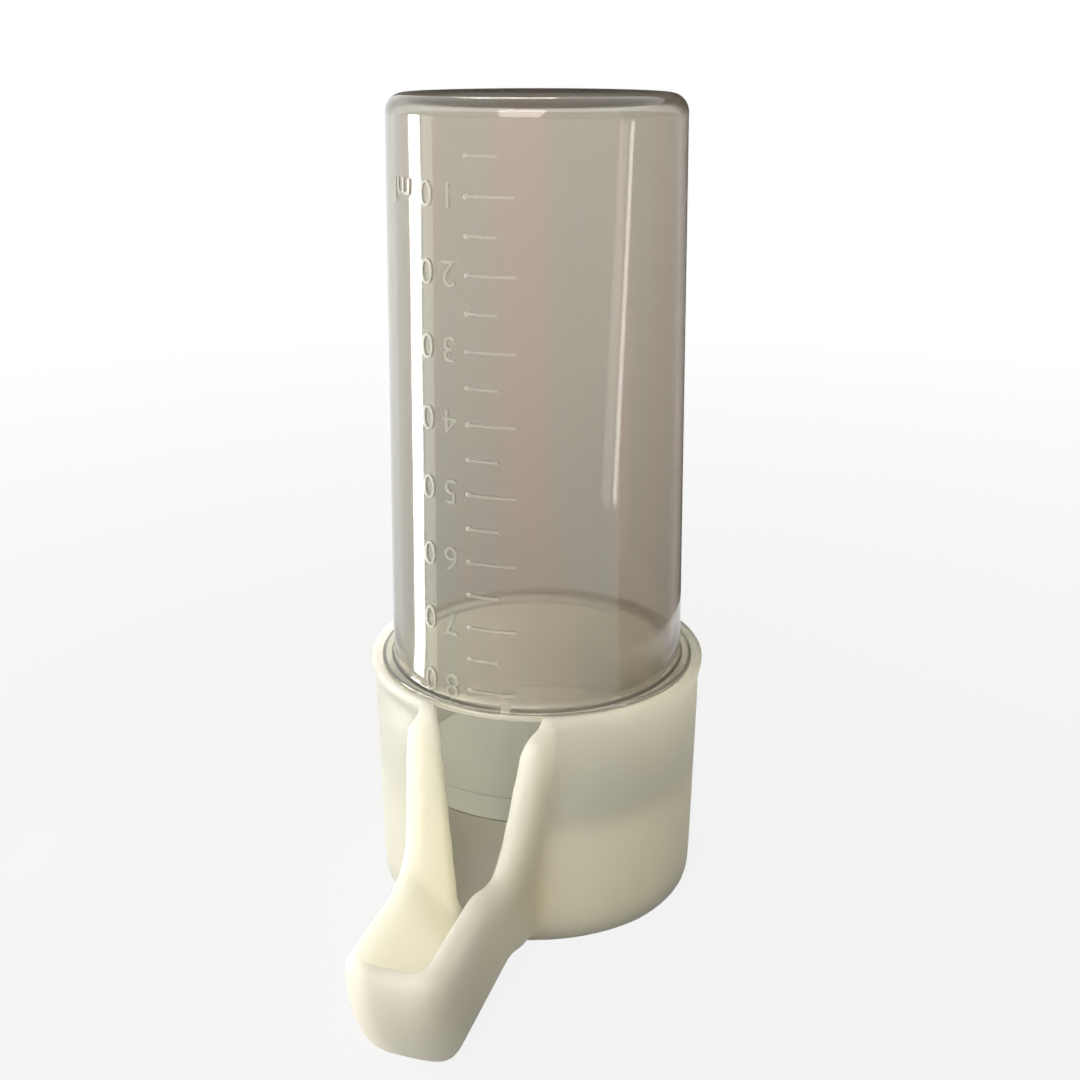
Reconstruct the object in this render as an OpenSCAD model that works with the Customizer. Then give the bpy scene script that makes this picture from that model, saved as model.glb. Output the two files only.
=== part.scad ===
// Bird waterer: a clear graduated tube, closed at the top, that stands upside down in a
// cream cup. The cup has an open slot in its front wall and a beak-shaped drinking trough.
// Water runs from the tube's mouth into the cup and stops when it covers the mouth.
//
// Frame: millimetres, Z up. The origin is on the axis of the cup, on the face it stands on.
// The trough points along -Y.

/* [Tube] */
// Outside diameter of the tube at its flange
tube_d = 40.8; // [34:0.2:56]
// How much smaller the tube's radius is at its closed end
tube_taper = 0.9; // [0.3:0.1:1.6]
// Height of the tube above the cup's rim
tube_rise = 77; // [50:1:120]
// Wall thickness of the tube
tube_wall = 1.3; // [0.9:0.1:2]
// Thickness of the closed end
tube_end = 1.6; // [1:0.1:3]
// Rounding of the closed end's outer edge
tube_edge_r = 2.4; // [1.4:0.2:4]
// Length of the skirt below the cup's rim, down to the mouth
skirt_len = 17; // [12:0.5:22]
// Length of the thinner lead-in at the mouth
lead_len = 4; // [2:0.5:7]
// Depth of the step from the skirt to the lead-in
lead_step = 0.4; // [0.2:0.1:0.6]
// Thickness of the flange that hangs the tube on the rim
flange_t = 1.4; // [1:0.1:2]
// Height of the small locating nib on the flange
nib_h = 1.4; // [0.8:0.1:2.4]
// Width of the nib
nib_w = 1.2; // [0.8:0.1:2]
// Depth of the nib, from front to back
nib_d = 0.9; // [0.6:0.1:1.2]
// How far the nib stands back from the flange's edge
nib_set = 0.4; // [0.2:0.1:0.5]
// Angle of the nib from the middle of the slot
nib_turn = 6.5; // [0:0.5:15]

/* [Cup] */
// Height of the rim above the face the cup stands on
cup_h = 34; // [28:0.5:44]
// Wall thickness of the cup
cup_wall = 1.6; // [1.2:0.1:2.4]
// Thickness of the floor
cup_floor = 1.8; // [1.2:0.1:3]
// How much smaller the cup's radius is at its foot
cup_taper = 0.7; // [0.2:0.1:1.4]
// Rounding of the edge it stands on
foot_edge_r = 1.0; // [0.6:0.1:2]
// How far the lip flares out past the wall
lip_flare = 0.5; // [0.2:0.1:1]
// Height of the flare below the rim
lip_h = 3; // [2:0.5:5]
// Height of the straight band at the top of the flare
lip_band = 1; // [0.5:0.1:1.5]
// Width of the ledge that carries the flange
ledge_w = 1; // [0.7:0.1:1.6]

/* [Trough] */
// How far the tip stands out from the cup's wall
spout_reach = 33; // [28:0.5:44]
// Height of the trough's edge
edge_z = 18.6; // [17:0.5:24]
// Length of the level trough, from the foot of the wings to the tip
trough_len = 16; // [12:0.5:18]
// Outside width of the trough at its edge
trough_w = 11; // [9:0.2:14]
// How much narrower the trough is at its keel
trough_taper = 0.8; // [0.4:0.2:3]
// Thickness of the wings and the trough's walls
spout_wall = 1.7; // [1.4:0.1:2.6]
// Rounding of the trough's top edges
edge_r = 0.7; // [0.3:0.05:0.8]
// Height of the keel above the face the cup stands on
keel_z = 0.6; // [0.6:0.2:3]
// Rounding of the keel's two edges
keel_r = 3.6; // [2:0.2:4]
// Radius of the bow at the tip
bow_r = 21.5; // [18.5:0.5:24]
// Rounding of the bow's two long edges
tip_edge_r = 3.4; // [0.8:0.1:3.4]

/* [Slot and wings] */
// Width of the slot at the rim
slot_top_w = 15; // [11:0.2:18]
// Width of the slot at the floor
slot_foot_w = 9.6; // [8:0.2:12]
// How far the wings stand out from the cup's wall at the rim
wing_out = 5.2; // [3:0.2:7]
// How far the foot of the wings stands out from the cup's wall
wing_foot = 10.8; // [8:0.2:12]
// How much farther out than the trough's the wings' faces stand where they end
wing_spread = 0.8; // [0.5:0.1:1.2]
// How far the foot of the wings' slanting end stands out from the cup's wall
wing_heel = 1.5; // [1:0.5:4]
// How far the wings' top lies below the rim
wing_drop = 0.5; // [0.2:0.1:2]
// How far the wings' edge dips under the trough's where it runs into it
wing_dip = 0.9; // [0.8:0.1:1.5]
// How far the wings' keel lies above the trough's
wing_rise = 0.3; // [0.2:0.1:0.6]
// Rounding of the wings' top corner
wing_top_r = 2; // [1.5:0.25:4]
// Rounding where the wings sweep into the trough
wing_foot_r = 6; // [3:0.5:9]

/* [Fits] */
// Gap between the tube's skirt and the cup's wall at the rim
tube_gap = 1; // [0.6:0.1:1.6]
// Gap between the flange's edge and the recess in the lip
flange_gap = 0.2; // [0.1:0.05:0.4]

/* [Hidden] */

// Roundness of the drawn curves
$fn = 96;
// Overlap that makes cuts run clean through
cut = 1;
// Flats that round the spout's long edges
flats = 5;
// Rounded edges of the spout end this much short of lying flush with the next face
shy = 0.25;

// Radii of the tube and of the cup, from the axis outwards
tube_r = tube_d / 2;
tube_top_r = tube_r - tube_taper;
cup_in_r = tube_r + tube_gap;
cup_top_r = cup_in_r + cup_wall;
cup_foot_r = cup_top_r - cup_taper;
recess_r = cup_in_r + ledge_w;
flange_r = recess_r - flange_gap;
lip_r = cup_top_r + lip_flare;

// Heights
flange_z = cup_h - flange_t;
tube_top = cup_h + tube_rise;
mouth_z = cup_h - skirt_len;

// Clear tube

// A square corner less its rounding, to cut from the outer corner of a profile
module round_off(r) {
    difference() {
        translate([-r, -r])
            square(r + cut);
        translate([-r, -r])
            circle(r);
    }
}

module tube_outline() {
    difference() {
        polygon([
            [0, mouth_z],
            [tube_r - lead_step, mouth_z],
            [tube_r - lead_step, mouth_z + lead_len - lead_step],
            [tube_r, mouth_z + lead_len],
            [tube_r, flange_z],
            [flange_r, flange_z],
            [flange_r, cup_h],
            [tube_r, cup_h],
            [tube_top_r, tube_top],
            [0, tube_top]
        ]);
        translate([tube_top_r, tube_top])
            round_off(tube_edge_r);
    }
}

module tube_hollow() {
    top = tube_top - tube_end;
    r_top = tube_top_r - tube_wall;
    difference() {
        polygon([
            [0, mouth_z - cut],
            [tube_r - tube_wall, mouth_z - cut],
            [tube_r - tube_wall, cup_h],
            [r_top, top],
            [0, top]
        ]);
        translate([r_top, top])
            round_off(tube_edge_r - tube_wall);
    }
}

// The nib is rooted half way down in the flange
module nib() {
    root = flange_t / 2;
    rotate(nib_turn)
        translate([-nib_w / 2, -flange_r + nib_set, cup_h - root])
            cube([nib_w, nib_d, root + nib_h]);
}

module reservoir_tube() {
    color([0.86, 0.86, 0.83, 0.35]) {
        rotate_extrude()
            difference() {
                tube_outline();
                tube_hollow();
            }
        nib();
    }
}

// Cream base

// Wall radii of the cup at a height
function cup_r_at(z) = cup_foot_r + cup_taper * z / (cup_h - lip_h);

module cup_outline() {
    difference() {
        polygon([
            [0, 0],
            [cup_foot_r, 0],
            [cup_top_r, cup_h - lip_h],
            [lip_r, cup_h - lip_band],
            [lip_r, cup_h],
            [0, cup_h]
        ]);
        translate([cup_foot_r, 0])
            mirror([0, 1])
                round_off(foot_edge_r);
    }
}

module cup_hollow() {
    polygon([
        [0, cup_floor],
        [cup_r_at(cup_floor) - cup_wall, cup_floor],
        [cup_in_r, cup_h - lip_h],
        [cup_in_r, flange_z],
        [recess_r, flange_z],
        [recess_r, cup_h + cut],
        [0, cup_h + cut]
    ]);
}

// Side view of the spout, drawn as [distance out from the axis, height]
tip_u = cup_top_r + spout_reach;
kink_u = tip_u - trough_len;
bow_u = tip_u - bow_r;
root_u = cup_in_r - 2 * cup_wall;
floor_z = keel_z + spout_wall;
wing_z = cup_h - wing_drop;
wing_corner = [cup_top_r + wing_out, wing_z];
wing_end = [cup_top_r + wing_foot, edge_z - wing_dip];
wing_far = [kink_u, edge_z - wing_dip];
wing_keel = keel_z + wing_rise;
heel = [cup_top_r + wing_heel, wing_keel];
tip = [tip_u, edge_z];
tip_in = [tip_u - spout_wall, edge_z];

function unit(v) = v / norm(v);

// Circle of radius r that touches both sides of the corner at b, and where it touches them
function half_angle(a, b, c) = acos(unit(a - b) * unit(c - b)) / 2;
function touch(a, b, c, r) = b + unit(a - b) * r / tan(half_angle(a, b, c));
function centre(a, b, c, r) = b + unit(unit(a - b) + unit(c - b)) * r / sin(half_angle(a, b, c));

// The same circle as a few flats
function flatted(a, b, c, r) =
    let (mid = centre(a, b, c, r), from = touch(a, b, c, r) - mid, to = touch(c, b, a, r) - mid)
    [for (i = [0:flats]) mid + r * unit(from * (flats - i) + to * i)];

// What lies between the corner at b and the circle
module corner_piece(a, b, c, r) {
    difference() {
        polygon([b, touch(a, b, c, r), touch(c, b, a, r)]);
        translate(centre(a, b, c, r))
            circle(r);
    }
}

// Both halves of an outline whose right half runs from the bottom to the top
module both_sides(right) {
    polygon(concat(right, [for (i = [1:len(right)]) [-right[len(right) - i].x, right[len(right) - i].y]]));
}

// Stand a side view up along the spout
module stand() {
    rotate([90, 0, -90])
        linear_extrude(2 * lip_r, center = true)
            children();
}

module wing_side() {
    difference() {
        union() {
            polygon([[root_u, wing_keel], [root_u, wing_z], wing_corner, wing_end, wing_far, heel]);
            corner_piece(wing_corner, wing_end, wing_far, wing_foot_r);
        }
        corner_piece([root_u, wing_z], wing_corner, wing_end, wing_top_r);
    }
}

// The gap between the wings ends one wall short of their slanting end
module wing_gap_side() {
    slant = unit(wing_far - heel);
    back = spout_wall * [-slant.y, slant.x];
    high = wing_far + back + slant * spout_reach / 4;
    polygon([[root_u, wing_keel], [root_u, cup_h + cut], [high.x, cup_h + cut], high, heel + back]);
}

// The bow is an arc about a point at the height of the edge
module bow_side(r, foot, top) {
    translate([root_u, foot])
        square([bow_u - root_u + cut, top - foot]);
    intersection() {
        translate([bow_u, foot])
            square([bow_r, top - foot]);
        translate([bow_u, edge_z])
            circle(r);
    }
}

module trough_side() {
    difference() {
        bow_side(bow_r, keel_z, edge_z);
        corner_piece([tip_u, keel_z], tip, tip_in, edge_r);
    }
}

// Half of the trough's width at the keel, for this half width at its edge
function at_keel(half) = half - trough_taper / 2;

// Cross sections of the trough and of its channel, with rounded keel edges and top edges
trough_half = trough_w / 2;
channel_half = trough_half - spout_wall;

module trough_section() {
    low = [at_keel(trough_half), keel_z];
    top = [trough_half, edge_z + shy];
    both_sides(concat(flatted([0, low.y], low, top, keel_r), flatted(low, top, [0, top.y], edge_r)));
}

module channel_section() {
    low = [at_keel(channel_half), floor_z];
    top = [channel_half, edge_z];
    both_sides(concat(flatted([0, low.y], low, top, keel_r - spout_wall), [top, [top.x, cup_h]]));
}

module along_spout() {
    rotate([90, 0, 0])
        linear_extrude(tip_u + cut)
            children();
}

// A wheel about the bow's axis, whose two rims round the edges between the bow and the sides
module bow_wheel() {
    half = trough_half + shy;
    out = bow_r + shy;
    translate([0, -bow_u, edge_z])
        rotate([0, 90, 0])
            rotate_extrude()
                polygon(concat(
                    [[0, half], [0, -half]],
                    flatted([0, -half], [out, -half], [out, 0], tip_edge_r),
                    flatted([out, 0], [out, half], [0, half], tip_edge_r)
                ));
}

// Room for all of the trough that lies behind the bow
module behind_bow() {
    half = trough_half + 2 * shy;
    translate([-half, -bow_u, 0])
        cube([2 * half, bow_u, edge_z + cut]);
}

// Faces of the wings. Going up they lean out by wing_lean a millimetre, and going out they
// close by wing_close.
wing_lean = (slot_top_w - slot_foot_w) / 2 / (cup_h - cup_floor);
slot_at_edge = slot_foot_w / 2 + wing_lean * (edge_z - cup_floor);
wing_close = (slot_at_edge - channel_half - wing_spread) / (kink_u - cup_in_r);
wing_turn = atan(wing_close);

// Where a wing's face at this depth crosses the inside of the cup's wall, square to the wing
function wing_at(z, depth) =
    (slot_foot_w / 2 + wing_lean * (z - cup_floor)) * cos(wing_turn) + depth;

// All that lies between the two wings' faces at this depth, down to this foot
module between_wings(depth, foot, r) {
    top = cup_h + lip_h;
    back = [-lip_r, foot];
    low = [wing_at(foot, depth), foot];
    high = [wing_at(top, depth), top];
    intersection_for (side = [0, 1])
        mirror([side, 0, 0])
            translate([0, -cup_in_r, 0])
                rotate([90, 0, -wing_turn])
                    translate([0, 0, -cup_in_r])
                        linear_extrude(tip_u)
                            polygon(concat(flatted(back, low, high, r), [high, [-lip_r, top]], [back]));
}

module spout_outside() {
    intersection() {
        stand()
            wing_side();
        between_wings(spout_wall, wing_keel, keel_r);
    }
    intersection() {
        stand()
            trough_side();
        along_spout()
            trough_section();
        union() {
            bow_wheel();
            behind_bow();
        }
    }
}

module spout_channel() {
    intersection() {
        stand()
            wing_gap_side();
        between_wings(0, wing_keel + spout_wall, keel_r - spout_wall);
    }
    intersection() {
        stand()
            bow_side(bow_r - spout_wall, floor_z, cup_h);
        along_spout()
            channel_section();
    }
}

module base_cup() {
    color([0.96, 0.93, 0.80])
        difference() {
            union() {
                rotate_extrude()
                    cup_outline();
                spout_outside();
            }
            rotate_extrude()
                cup_hollow();
            spout_channel();
        }
}

reservoir_tube();
base_cup();
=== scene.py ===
import math

import bmesh
import bpy
from mathutils import Matrix, Vector


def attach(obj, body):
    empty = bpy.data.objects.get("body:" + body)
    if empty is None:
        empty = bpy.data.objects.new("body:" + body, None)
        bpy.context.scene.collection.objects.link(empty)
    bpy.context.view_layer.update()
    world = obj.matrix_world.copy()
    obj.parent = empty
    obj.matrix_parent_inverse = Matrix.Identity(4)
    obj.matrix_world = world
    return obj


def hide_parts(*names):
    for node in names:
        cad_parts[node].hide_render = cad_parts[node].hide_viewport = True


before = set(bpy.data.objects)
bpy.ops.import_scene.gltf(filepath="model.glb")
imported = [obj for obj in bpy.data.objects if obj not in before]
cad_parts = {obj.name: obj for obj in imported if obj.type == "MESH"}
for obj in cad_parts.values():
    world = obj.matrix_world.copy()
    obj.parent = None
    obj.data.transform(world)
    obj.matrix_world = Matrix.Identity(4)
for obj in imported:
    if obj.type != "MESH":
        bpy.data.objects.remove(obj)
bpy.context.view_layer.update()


# Base cup: one injection moulding in cream polypropylene, a round cup whose slotted front
# runs out between two wings into a drinking trough. All its edges are softly rounded, and the
# wings flow into the cup's wall.
mm = 0.001
weld = 0.002 * mm
mesh_grain = 0.45 * mm
filled_out = 0.42 * mm
rounding_passes = 50
back_softness = 0.3
front_from = 12 * mm
front_full = 18 * mm
rim_outside = 24.6 * mm
rim_inside = 23.2 * mm
rim_seat = 31.5 * mm
rim_low = 27.5 * mm
foot_fade = 4 * mm
cream_deep = (0.92, 0.865, 0.63, 1)
cream_pale = (0.94, 0.89, 0.665, 1)
cloud_scale = 60
pit_scale = 2600
pit_depth = 0.05 * mm
satin_low = 0.36
satin_high = 0.5
light_reach = 24 * mm


def new_piece(name, shape):
    mesh = bpy.data.meshes.new(name)
    shape.to_mesh(mesh)
    shape.free()
    piece = bpy.data.objects.new(name, mesh)
    bpy.context.scene.collection.objects.link(piece)
    return piece


def settle(piece):
    done = piece.evaluated_get(bpy.context.evaluated_depsgraph_get())
    mesh = bpy.data.meshes.new_from_object(done)
    piece.modifiers.clear()
    piece.data = mesh
    piece.data.name = piece.name


def smooth_faces(piece):
    for face in piece.data.polygons:
        face.use_smooth = True


def part_way(value, start, end):
    return min(1.0, max(0.0, (value - start) / (end - start)))


base_shape = bmesh.new()
base_shape.from_mesh(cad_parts["base_cup"].data)
bmesh.ops.remove_doubles(base_shape, verts=base_shape.verts, dist=weld)
base = new_piece("base", base_shape)
even = base.modifiers.new("even mesh", "REMESH")
even.mode = "VOXEL"
even.voxel_size = mesh_grain
settle(base)

# The wings and trough are rounded most, after they are filled out by what rounding takes off.
# The rim keeps its exact seat for the flange, and the foot its flat floor.
soft = base.vertex_groups.new(name="soft")
full = base.vertex_groups.new(name="full")
for vertex in base.data.vertices:
    from_axis = math.hypot(vertex.co.x, vertex.co.y)
    height = vertex.co.z
    forward = part_way(-vertex.co.y, front_from, front_full)
    in_rim_wall = part_way(from_axis, rim_outside, rim_inside)
    below_rim = part_way(height, rim_seat, rim_low)
    above_foot = part_way(height, 0, foot_fade)
    softness = back_softness + (1 - back_softness) * forward
    softness *= 1 - in_rim_wall * (1 - below_rim)
    soft.add([vertex.index], softness, "REPLACE")
    full.add([vertex.index], softness * above_foot, "REPLACE")
fullness = base.modifiers.new("full edges", "DISPLACE")
fullness.strength = filled_out
fullness.mid_level = 0
fullness.vertex_group = full.name
rounding = base.modifiers.new("soft edges", "SMOOTH")
rounding.factor = 0.5
rounding.iterations = rounding_passes
rounding.vertex_group = soft.name
settle(base)
base.vertex_groups.clear()
smooth_faces(base)


def new_material(name):
    material = bpy.data.materials.new(name)
    material.use_nodes = True
    return material, material.node_tree, material.node_tree.nodes["Principled BSDF"]


def feed(tree, node, inputs):
    for name, value in inputs.items():
        if isinstance(value, bpy.types.NodeSocket):
            tree.links.new(value, node.inputs[name])
        else:
            node.inputs[name].default_value = value


def add_node(tree, kind, inputs, **settings):
    node = tree.nodes.new(kind)
    for name, value in settings.items():
        setattr(node, name, value)
    feed(tree, node, inputs)
    return node


def add_noise(tree, vector, scale, detail):
    noise = add_node(tree, "ShaderNodeTexNoise", {"Vector": vector, "Scale": scale, "Detail": detail})
    return noise.outputs["Fac"]


def add_bump(tree, height, strength, distance):
    bump = add_node(tree, "ShaderNodeBump", {
        "Height": height,
        "Strength": strength,
        "Distance": distance,
    })
    return bump.outputs["Normal"]


def add_range(tree, value, start, end, low, high):
    spread = add_node(tree, "ShaderNodeMapRange", {
        "Value": value,
        "From Min": start,
        "From Max": end,
        "To Min": low,
        "To Max": high,
    })
    return spread.outputs["Result"]


def add_ramp(tree, value, stops):
    ramp = add_node(tree, "ShaderNodeValToRGB", {"Fac": value})
    for element, (position, colour) in zip(ramp.color_ramp.elements, stops):
        element.position = position
        element.color = colour
    return ramp.outputs["Color"]


def dress(piece, material):
    piece.data.materials.clear()
    piece.data.materials.append(material)


cream, tree, plastic = new_material("cream_polypropylene")
spot = add_node(tree, "ShaderNodeTexCoord", {}).outputs["Object"]
clouds = add_noise(tree, spot, cloud_scale, 3)
pits = add_noise(tree, spot, pit_scale, 2)
feed(tree, plastic, {
    "Base Color": add_ramp(tree, clouds, ((0.3, cream_deep), (0.7, cream_pale))),
    "Roughness": add_range(tree, pits, 0, 1, satin_low, satin_high),
    "Normal": add_bump(tree, pits, 0.12, pit_depth),
    "IOR": 1.49,
    "Specular IOR Level": 0.3,
    "Subsurface Weight": 1,
    "Subsurface Radius": (1.0, 0.95, 0.85),
    "Subsurface Scale": light_reach,
})
dress(base, cream)
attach(base, "base")
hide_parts("base_cup")


# Reservoir tube: one moulding in clear polystyrene, turned mouth down. Its closed end is
# rounded, a flange hangs it in the cup's rim, and the skirt below ends in a thinner lead-in.
# Its sizes are in millimetres.
tube_top = 111.0
tube_foot = 34.0
mouth = 17.0
top_r = 19.5
foot_r = 20.4
wall = 1.3
inside_top = tube_top - 1.6
bore_top_r = top_r - wall
bore_foot_r = foot_r - wall
flange_r = 22.05
flange_under = 32.68
lead_in_r = 20
lead_in_start = 21
lead_in_end = 20.6


def tube_r(z):
    return foot_r + (top_r - foot_r) * (z - tube_foot) / (tube_top - tube_foot)


def ring_at(shape, r, z):
    def lies(vertex):
        return (abs(math.hypot(vertex.co.x, vertex.co.y) - r * mm) < 0.02 * mm
                and abs(vertex.co.z - z * mm) < 0.02 * mm)
    return [edge for edge in shape.edges if lies(edge.verts[0]) and lies(edge.verts[1])]


profile = [(0, tube_top), (top_r, tube_top)]
profile += [(tube_r(z), z) for z in range(106, 34, -6)]
profile += [(foot_r, tube_foot), (flange_r, tube_foot), (flange_r, flange_under), (foot_r, flange_under)]
profile += [(foot_r, lead_in_start), (lead_in_r, lead_in_end), (lead_in_r, mouth)]
profile += [(bore_foot_r, mouth), (bore_foot_r, tube_foot), (bore_top_r, inside_top), (0, inside_top)]
tube_shape = bmesh.new()
points = [tube_shape.verts.new((r * mm, 0, z * mm)) for r, z in profile]
lines = [tube_shape.edges.new(pair) for pair in zip(points, points[1:])]
bmesh.ops.spin(tube_shape, geom=points + lines, cent=(0, 0, 0), axis=(0, 0, 1),
               angle=2 * math.pi, steps=256, use_merge=True)
bmesh.ops.remove_doubles(tube_shape, verts=tube_shape.verts, dist=weld)
bmesh.ops.recalc_face_normals(tube_shape, faces=tube_shape.faces)
for r, z, radius, segments in (
        (top_r, tube_top, 2.4, 10),
        (bore_top_r, inside_top, 1.1, 6),
        (flange_r, tube_foot, 0.35, 3),
        (flange_r, flange_under, 0.75, 5),
        (lead_in_r, mouth, 0.25, 2),
        (bore_foot_r, mouth, 0.25, 2),
        (foot_r, tube_foot, 0.4, 4)):
    bmesh.ops.bevel(tube_shape, geom=ring_at(tube_shape, r, z), offset=radius * mm,
                    segments=segments, profile=0.5, affect="EDGES", material=-1)
tube = new_piece("tube", tube_shape)


# Marks on the tube: a raised scale in millilitres, moulded with the wall and read with the
# mouth up, so its numerals stand on their heads here. A small nib sits on the flange.
# Sides and sweeps are in degrees round the tube, and other sizes in millimetres.
camera_side = math.radians(17.4)
lost_in_rounding = 0.35
tick_side = -25.2
long_tick = 17.8
short_tick = 11.4
tick_half = 0.16
tick_rooted = 0.3
tick_proud = 0.22
dot_radius = 0.42
tens_side = -32.7
noughts_side = -43
unit_sides = (("m", -56.5), ("l", -63))
letter_size = 4.7
letter_middle = 1.65
letter_proud = 0.3
letter_sunk = 0.06
letter_thinned = 0.05
nib_turn = 6.5
nib_r = 21.35
nib_z = 34.35
nib_wide = 1.2
nib_deep = 0.9
nib_tall = 2.1
marks = bmesh.new()


def height_of(millilitres):
    widening = (foot_r - top_r) / (inside_top - tube_foot)
    volume = (millilitres + lost_in_rounding) * 1000
    cube = bore_top_r ** 3 + 3 * widening * volume / math.pi
    return inside_top - (cube ** (1 / 3) - bore_top_r) / widening


def round_to(side):
    return Matrix.Rotation(camera_side + math.radians(side), 4, "Z")


def add_tick(z, sweep):
    inner = (tube_r(z) - tick_rooted) * mm
    outer = (tube_r(z) + tick_proud) * mm
    low = (z - tick_half) * mm
    high = (z + tick_half) * mm
    corners = [(0, -inner, low), (0, -outer, low), (0, -outer, high), (0, -inner, high)]
    turn = round_to(tick_side)
    face = marks.faces.new([marks.verts.new(turn @ Vector(corner)) for corner in corners])
    bmesh.ops.spin(marks, geom=[face], cent=(0, 0, 0), axis=(0, 0, 1),
                   angle=math.radians(sweep), steps=14)


def add_dot(z):
    on_wall = Matrix.Translation((0, -tube_r(z) * mm, z * mm))
    flattened = Matrix.Diagonal((1.1, 0.7, 0.9, 1))
    bmesh.ops.create_icosphere(marks, subdivisions=2, radius=dot_radius * mm,
                               matrix=round_to(tick_side) @ on_wall @ flattened)


def add_letter(letter, z, letter_side):
    curve = bpy.data.curves.new("letter", "FONT")
    curve.body = letter
    curve.size = letter_size * mm
    curve.extrude = letter_proud * mm
    curve.offset = -letter_thinned * mm
    curve.resolution_u = 4
    curve.align_x = "CENTER"
    written = bpy.data.objects.new("letter", curve)
    bpy.context.scene.collection.objects.link(written)
    done = written.evaluated_get(bpy.context.evaluated_depsgraph_get())
    flat = bpy.data.meshes.new_from_object(done)
    bpy.data.objects.remove(written)
    wrapped = bmesh.new()
    wrapped.from_mesh(flat)
    bmesh.ops.remove_doubles(wrapped, verts=wrapped.verts, dist=2 * weld)
    for vertex in wrapped.verts:
        side, up, out = vertex.co
        level = z * mm - (up - letter_middle * mm)
        angle = camera_side + math.radians(letter_side) - side / (tube_r(z) * mm)
        reach = tube_r(level / mm) * mm + out - letter_sunk * mm
        vertex.co = (reach * math.sin(angle), -reach * math.cos(angle), level)
    solid = bpy.data.meshes.new("letter")
    wrapped.to_mesh(solid)
    wrapped.free()
    marks.from_mesh(solid)


for millilitres in range(5, 85, 5):
    level = height_of(millilitres)
    whole = millilitres % 10 == 0
    add_tick(level, long_tick if whole else short_tick)
    add_dot(level)
    if whole:
        add_letter(str(millilitres // 10), level, tens_side)
        add_letter("0", level, noughts_side)
for letter, unit_side in unit_sides:
    add_letter(letter, height_of(10), unit_side)
turned = Matrix.Rotation(math.radians(nib_turn), 4, "Z")
on_flange = Matrix.Translation((0, -nib_r * mm, nib_z * mm))
sized = Matrix.Diagonal((nib_wide * mm, nib_deep * mm, nib_tall * mm, 1))
bmesh.ops.create_cube(marks, size=1, matrix=turned @ on_flange @ sized)
bmesh.ops.recalc_face_normals(marks, faces=marks.faces)
scale = new_piece("scale", marks)
joined = tube.modifiers.new("moulded on", "BOOLEAN")
joined.operation = "UNION"
joined.solver = "EXACT"
joined.use_self = True
joined.object = scale
settle(tube)
bpy.data.objects.remove(scale)
smooth_faces(tube)
tube.data.set_sharp_from_angle(angle=math.radians(35))


# Plastic of the tube and its marks: clear polystyrene, a little wavy and hazy from the mould,
# with a faint tint that grows paler towards the top, streaked upright in green and brown as a
# painted reflection of the room. The skirt's front is tinted darker and its back clearer, as painted
# shade and light, and the flange is clearer too. The raised marks are rougher, and tinted paler
# as a painted highlight on their relief.
# Green and brown of the upright streaks: painted reflections, over the tube's own faint tint.
reflection_streak_green = (0.58, 0.60, 0.555, 1)
reflection_streak_brown = (0.65, 0.585, 0.54, 1)
# Painted shade and light: the skirt's front is tinted darker and its back clearer.
shaded_skirt_front = (0.5, 0.52, 0.5, 1)
lit_skirt_back = (0.94, 0.95, 0.93, 1)
# Paler colour of the raised marks: a painted highlight on their relief; their roughness is their own.
paler_marks_painted_highlight = (0.9, 0.9, 0.86, 1)
frosted_roughness = 0.35
deep_tint = (0.5, 0.42, 0.3, 1)
deep_density = 75
lamp_passing = (0.84, 0.84, 0.81, 1)
wave_stretch = (90, 90, 14)
wave_depth = 0.4 * mm
haze_low = 0.05
haze_high = 0.11
reflection_streak_stretch = (150, 150, 7)
tint_at_foot = 0.9
tint_at_top = 1.09
flange_low = 32.3 * mm
skirt_end = (tube_foot - 0.3) * mm
wall_start = (tube_foot + 0.5) * mm
painted_shade_spread = 15 * mm
marks_r_at_foot = (foot_r + 0.08) * mm
marks_r_at_top = (top_r + 0.08) * mm
marks_low = (tube_foot + 0.15) * mm


def stretched_noise(tree, spot, stretch, detail):
    mapping = add_node(tree, "ShaderNodeMapping", {"Vector": spot, "Scale": stretch})
    return add_noise(tree, mapping.outputs["Vector"], 1, detail)


def add_math(tree, operation, first, second):
    return add_node(tree, "ShaderNodeMath", {0: first, 1: second}, operation=operation).outputs["Value"]


def add_mix(tree, kind, share, first, second):
    mix = add_node(tree, "ShaderNodeMix", {"Factor": share, "A": first, "B": second}, data_type=kind)
    return mix.outputs["Result"]


def length_of(tree, vector):
    return add_node(tree, "ShaderNodeVectorMath", {0: vector}, operation="LENGTH").outputs["Value"]


clear, tree, glass = new_material("clear_polystyrene")
spot = add_node(tree, "ShaderNodeTexCoord", {}).outputs["Object"]
axes = add_node(tree, "ShaderNodeSeparateXYZ", {"Vector": spot}).outputs
waves = stretched_noise(tree, spot, wave_stretch, 1)
# Upright streaks of painted reflection in the tint.
painted_reflection_streaks = stretched_noise(tree, spot, reflection_streak_stretch, 2)
tint_and_painted_reflections = add_ramp(tree, painted_reflection_streaks, ((0.35, reflection_streak_green), (0.65, reflection_streak_brown)))
upward = add_range(tree, axes["Z"], tube_foot * mm, tube_top * mm, tint_at_foot, tint_at_top)
paler = add_node(tree, "ShaderNodeVectorMath", {0: tint_and_painted_reflections, "Scale": upward}, operation="SCALE")
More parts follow.
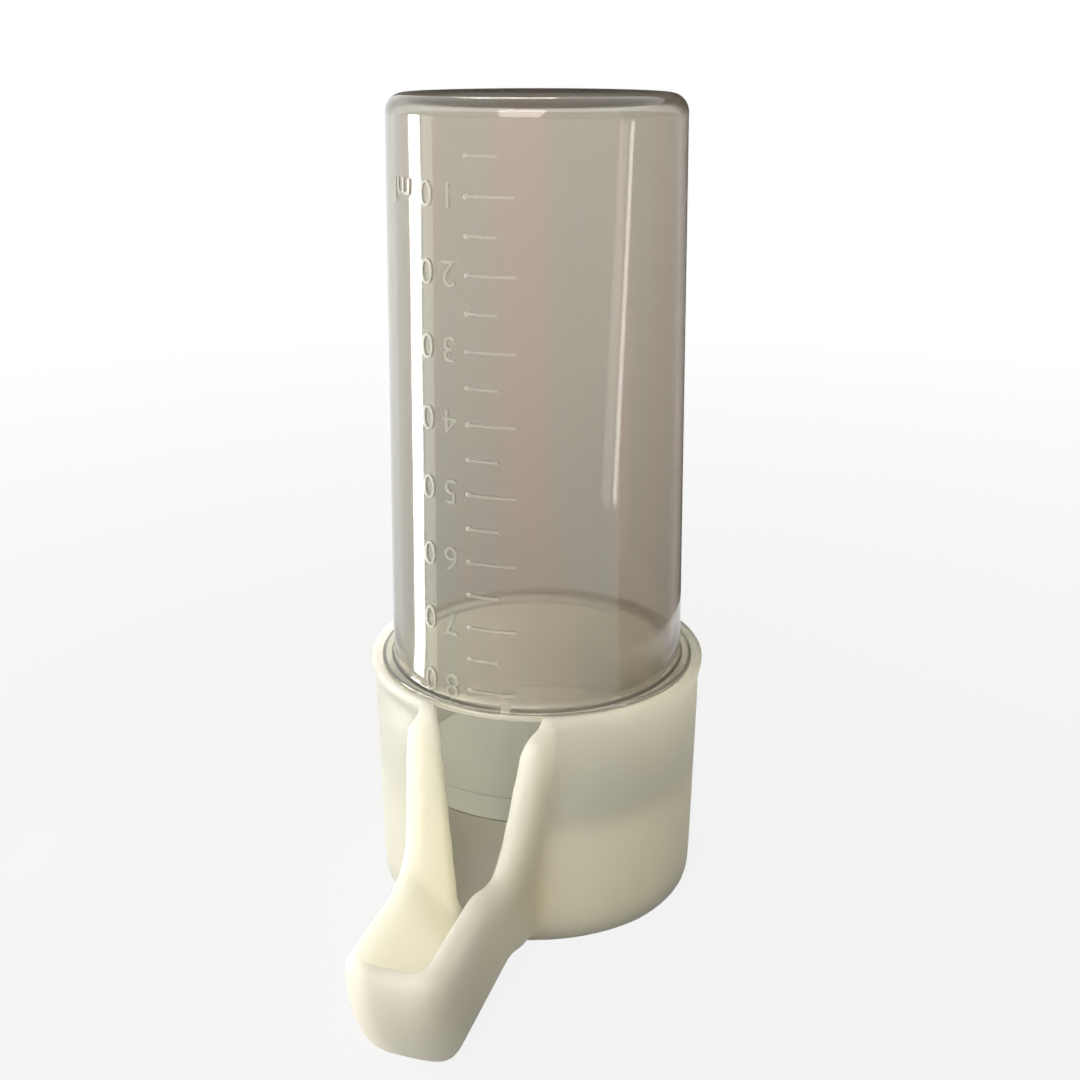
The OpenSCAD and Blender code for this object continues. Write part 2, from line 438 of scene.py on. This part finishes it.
# Painted shade: the skirt's tint runs from dark at its front to clear at its back; the flange is clear.
shade_to_light_rearward = add_range(tree, axes["Y"], -painted_shade_spread, painted_shade_spread, 0, 1)
in_flange = add_math(tree, "GREATER_THAN", axes["Z"], flange_low)
lit_back_or_flange = add_math(tree, "MAXIMUM", shade_to_light_rearward, in_flange)
skirt_tint_and_painted_shade = add_mix(tree, "RGBA", lit_back_or_flange, shaded_skirt_front, lit_skirt_back)
above_skirt = add_range(tree, axes["Z"], skirt_end, wall_start, 0, 1)
wall_tint_and_painted_light = add_mix(tree, "RGBA", above_skirt, skirt_tint_and_painted_shade, paler.outputs["Vector"])
across = add_node(tree, "ShaderNodeCombineXYZ", {"X": axes["X"], "Y": axes["Y"]})
surface = add_range(tree, axes["Z"], tube_foot * mm, tube_top * mm, marks_r_at_foot, marks_r_at_top)
proud = add_math(tree, "GREATER_THAN", length_of(tree, across.outputs["Vector"]), surface)
above_flange = add_math(tree, "GREATER_THAN", axes["Z"], marks_low)
# Mask of the raised marks, which get their own roughness and a paler colour as painted highlight.
in_marks = add_math(tree, "MULTIPLY", proud, above_flange)
haze = add_range(tree, waves, 0, 1, haze_low, haze_high)
feed(tree, glass, {
    "Base Color": add_mix(tree, "RGBA", in_marks, wall_tint_and_painted_light, paler_marks_painted_highlight),
    "Roughness": add_mix(tree, "FLOAT", in_marks, haze, frosted_roughness),
    "Normal": add_bump(tree, waves, 0.2, wave_depth),
    "Transmission Weight": 0.92,
    "IOR": 1.5,
})
rays = add_node(tree, "ShaderNodeLightPath", {})
passing = add_node(tree, "ShaderNodeBsdfTransparent", {"Color": lamp_passing})
lamp_light = add_node(tree, "ShaderNodeMixShader", {
    "Fac": rays.outputs["Is Shadow Ray"],
    1: glass.outputs["BSDF"],
    2: passing.outputs["BSDF"],
})
depth = add_node(tree, "ShaderNodeVolumeAbsorption", {"Color": deep_tint, "Density": deep_density})
feed(tree, tree.nodes["Material Output"], {
    "Surface": lamp_light.outputs["Shader"],
    "Volume": depth.outputs["Volume"],
})
dress(tube, clear)
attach(tube, "tube")
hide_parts("reservoir_tube")


# Studio: a white paper table that runs on into a white backdrop. Both look white to the camera
# and through the clear tube. The table keeps the object's shadow, and the backdrop adds a
# little warm light.
table_half = 6
paper_grey = (0.3, 0.3, 0.3, 1)
shadow_near = 0.08
shadow_far = 0.4
near_white = 0.87
backdrop_light = 0.1
backdrop_warm = (1, 0.93, 0.76, 1)
backdrop_white = (1, 1, 1, 1)


def seen_rays(tree):
    rays = add_node(tree, "ShaderNodeLightPath", {}).outputs
    direct = add_math(tree, "MAXIMUM", rays["Is Camera Ray"], rays["Is Glossy Ray"])
    return add_math(tree, "MAXIMUM", direct, rays["Is Transmission Ray"])


table_shape = bmesh.new()
bmesh.ops.create_grid(table_shape, x_segments=1, y_segments=1, size=table_half)
table = new_piece("table", table_shape)
paper, tree, matte = new_material("white_paper")
feed(tree, matte, {"Base Color": paper_grey, "Roughness": 0.9, "Specular IOR Level": 0.1})
spot = add_node(tree, "ShaderNodeTexCoord", {}).outputs["Object"]
fade = add_range(tree, length_of(tree, spot), shadow_near, shadow_far, near_white, 1)
white = add_node(tree, "ShaderNodeEmission", {"Strength": 1})
lit_paper = add_node(tree, "ShaderNodeMixShader", {
    "Fac": add_math(tree, "MULTIPLY", seen_rays(tree), fade),
    1: matte.outputs["BSDF"],
    2: white.outputs["Emission"],
})
feed(tree, tree.nodes["Material Output"], {"Surface": lit_paper.outputs["Shader"]})
dress(table, paper)

world = bpy.data.worlds.new("backdrop")
world.use_nodes = True
bpy.context.scene.world = world
tree = world.node_tree
seen = seen_rays(tree)
feed(tree, tree.nodes["Background"], {
    "Strength": add_range(tree, seen, 0, 1, backdrop_light, 1),
    "Color": add_mix(tree, "RGBA", seen, backdrop_warm, backdrop_white),
})


# Lamps: soft banks at the left, the back left and the front light the base. Narrow strips close
# to the tube show only as its upright highlights, a small lamp behind as the line on its top
# edge, and a dark card round the right as its darker side. Sides are in degrees from the camera.
middle = Vector((0, 0, 0.05))
strip_distance = 0.08
card_side = 60
card_distance = 0.11
card_tall = 0.17
card_sweep = 140
felt_black = (0.03, 0.025, 0.02, 1)


def toward(side, distance, height):
    angle = camera_side + math.radians(side)
    return Vector((distance * math.sin(angle), -distance * math.cos(angle), height))


def soft_light(name, place, aim, width, tall, watts, colour):
    lamp = bpy.data.lights.new(name, "AREA")
    lamp.shape = "RECTANGLE"
    lamp.size = width
    lamp.size_y = tall
    lamp.energy = watts
    lamp.color = colour
    holder = bpy.data.objects.new(name, lamp)
    holder.location = place
    holder.rotation_mode = "QUATERNION"
    holder.rotation_quaternion = (aim - place).to_track_quat("-Z", "Y")
    holder.visible_camera = False
    holder.visible_transmission = False
    bpy.context.scene.collection.objects.link(holder)
    return holder


for name, place, width, tall, watts, colour, mirrored in (
        ("side_bank", toward(-83, 0.65, 0.17), 0.4, 0.32, 3.8, (1, 0.97, 0.87), False),
        ("back_bank", toward(-140, 0.55, 0.22), 0.35, 0.35, 2.2, (1, 0.985, 0.95), False),
        ("front_bank", toward(-12, 0.55, 0.38), 0.35, 0.4, 3.0, (1, 0.955, 0.85), True)):
    bank = soft_light(name, place, middle, width, tall, watts, colour)
    bank.visible_glossy = mirrored
for name, side, height, width, tall, roll, watts, colour in (
        ("left_strip", -92.5, 0.057, 0.017, 0.112, 0, 0.12, (1, 1, 0.95)),
        ("left_glow", -79, 0.057, 0.014, 0.112, 0, 0.011, (1, 0.96, 0.82)),
        ("right_glow", 53, 0.0755, 0.009, 0.07, -15, 0.003, (1, 0.97, 0.86)),
        ("right_line", 60, 0.0755, 0.004, 0.07, -15, 0.007, (1, 0.98, 0.92))):
    strip = soft_light(name, toward(side, strip_distance, height), toward(side, 0, height),
                       width, tall, watts, colour)
    strip.rotation_quaternion @= Matrix.Rotation(math.radians(roll), 4, "Z").to_quaternion()
    strip.visible_diffuse = False
edge_light = soft_light("edge_light", toward(-173, 0.25, 0.35), Vector((0, 0, tube_top * mm)),
                        0.1, 0.08, 0.12, (1, 0.99, 0.94))
edge_light.visible_diffuse = False

card_shape = bmesh.new()
ends = [card_shape.verts.new(toward(card_side, card_distance, height)) for height in (0, card_tall)]
upright = card_shape.edges.new(ends)
bmesh.ops.spin(card_shape, geom=ends + [upright], cent=(0, 0, 0), axis=(0, 0, 1),
               angle=math.radians(card_sweep), steps=32)
card = new_piece("dark_card", card_shape)
felt, tree, matte = new_material("dark_felt")
feed(tree, matte, {"Base Color": felt_black, "Roughness": 0.9})
dress(card, felt)
card.visible_camera = False
card.visible_diffuse = False
card.visible_transmission = False
card.visible_shadow = False


# Camera: at the photograph's height and angle, with the lens shifted a little so that the
# object stands where it does in the picture. The focal length and shifts are in its pixels.
picture = 1080
film = 36
focal = 1396.84
shift_right = 3
shift_up = -103
camera_distance = 0.185
camera_height = 0.11663
looking_down = 15.62
eye = bpy.data.cameras.new("eye")
eye.sensor_width = film
eye.lens = focal / picture * film
eye.shift_x = shift_right / picture
eye.shift_y = shift_up / picture
eye.clip_start = 0.01
eye.clip_end = 50
camera = bpy.data.objects.new("camera", eye)
camera.location = toward(0, camera_distance, camera_height)
camera.rotation_euler = (math.radians(90 - looking_down), 0, camera_side)
bpy.context.scene.collection.objects.link(camera)
bpy.context.scene.camera = camera
bpy.context.scene.view_settings.view_transform = "Standard"
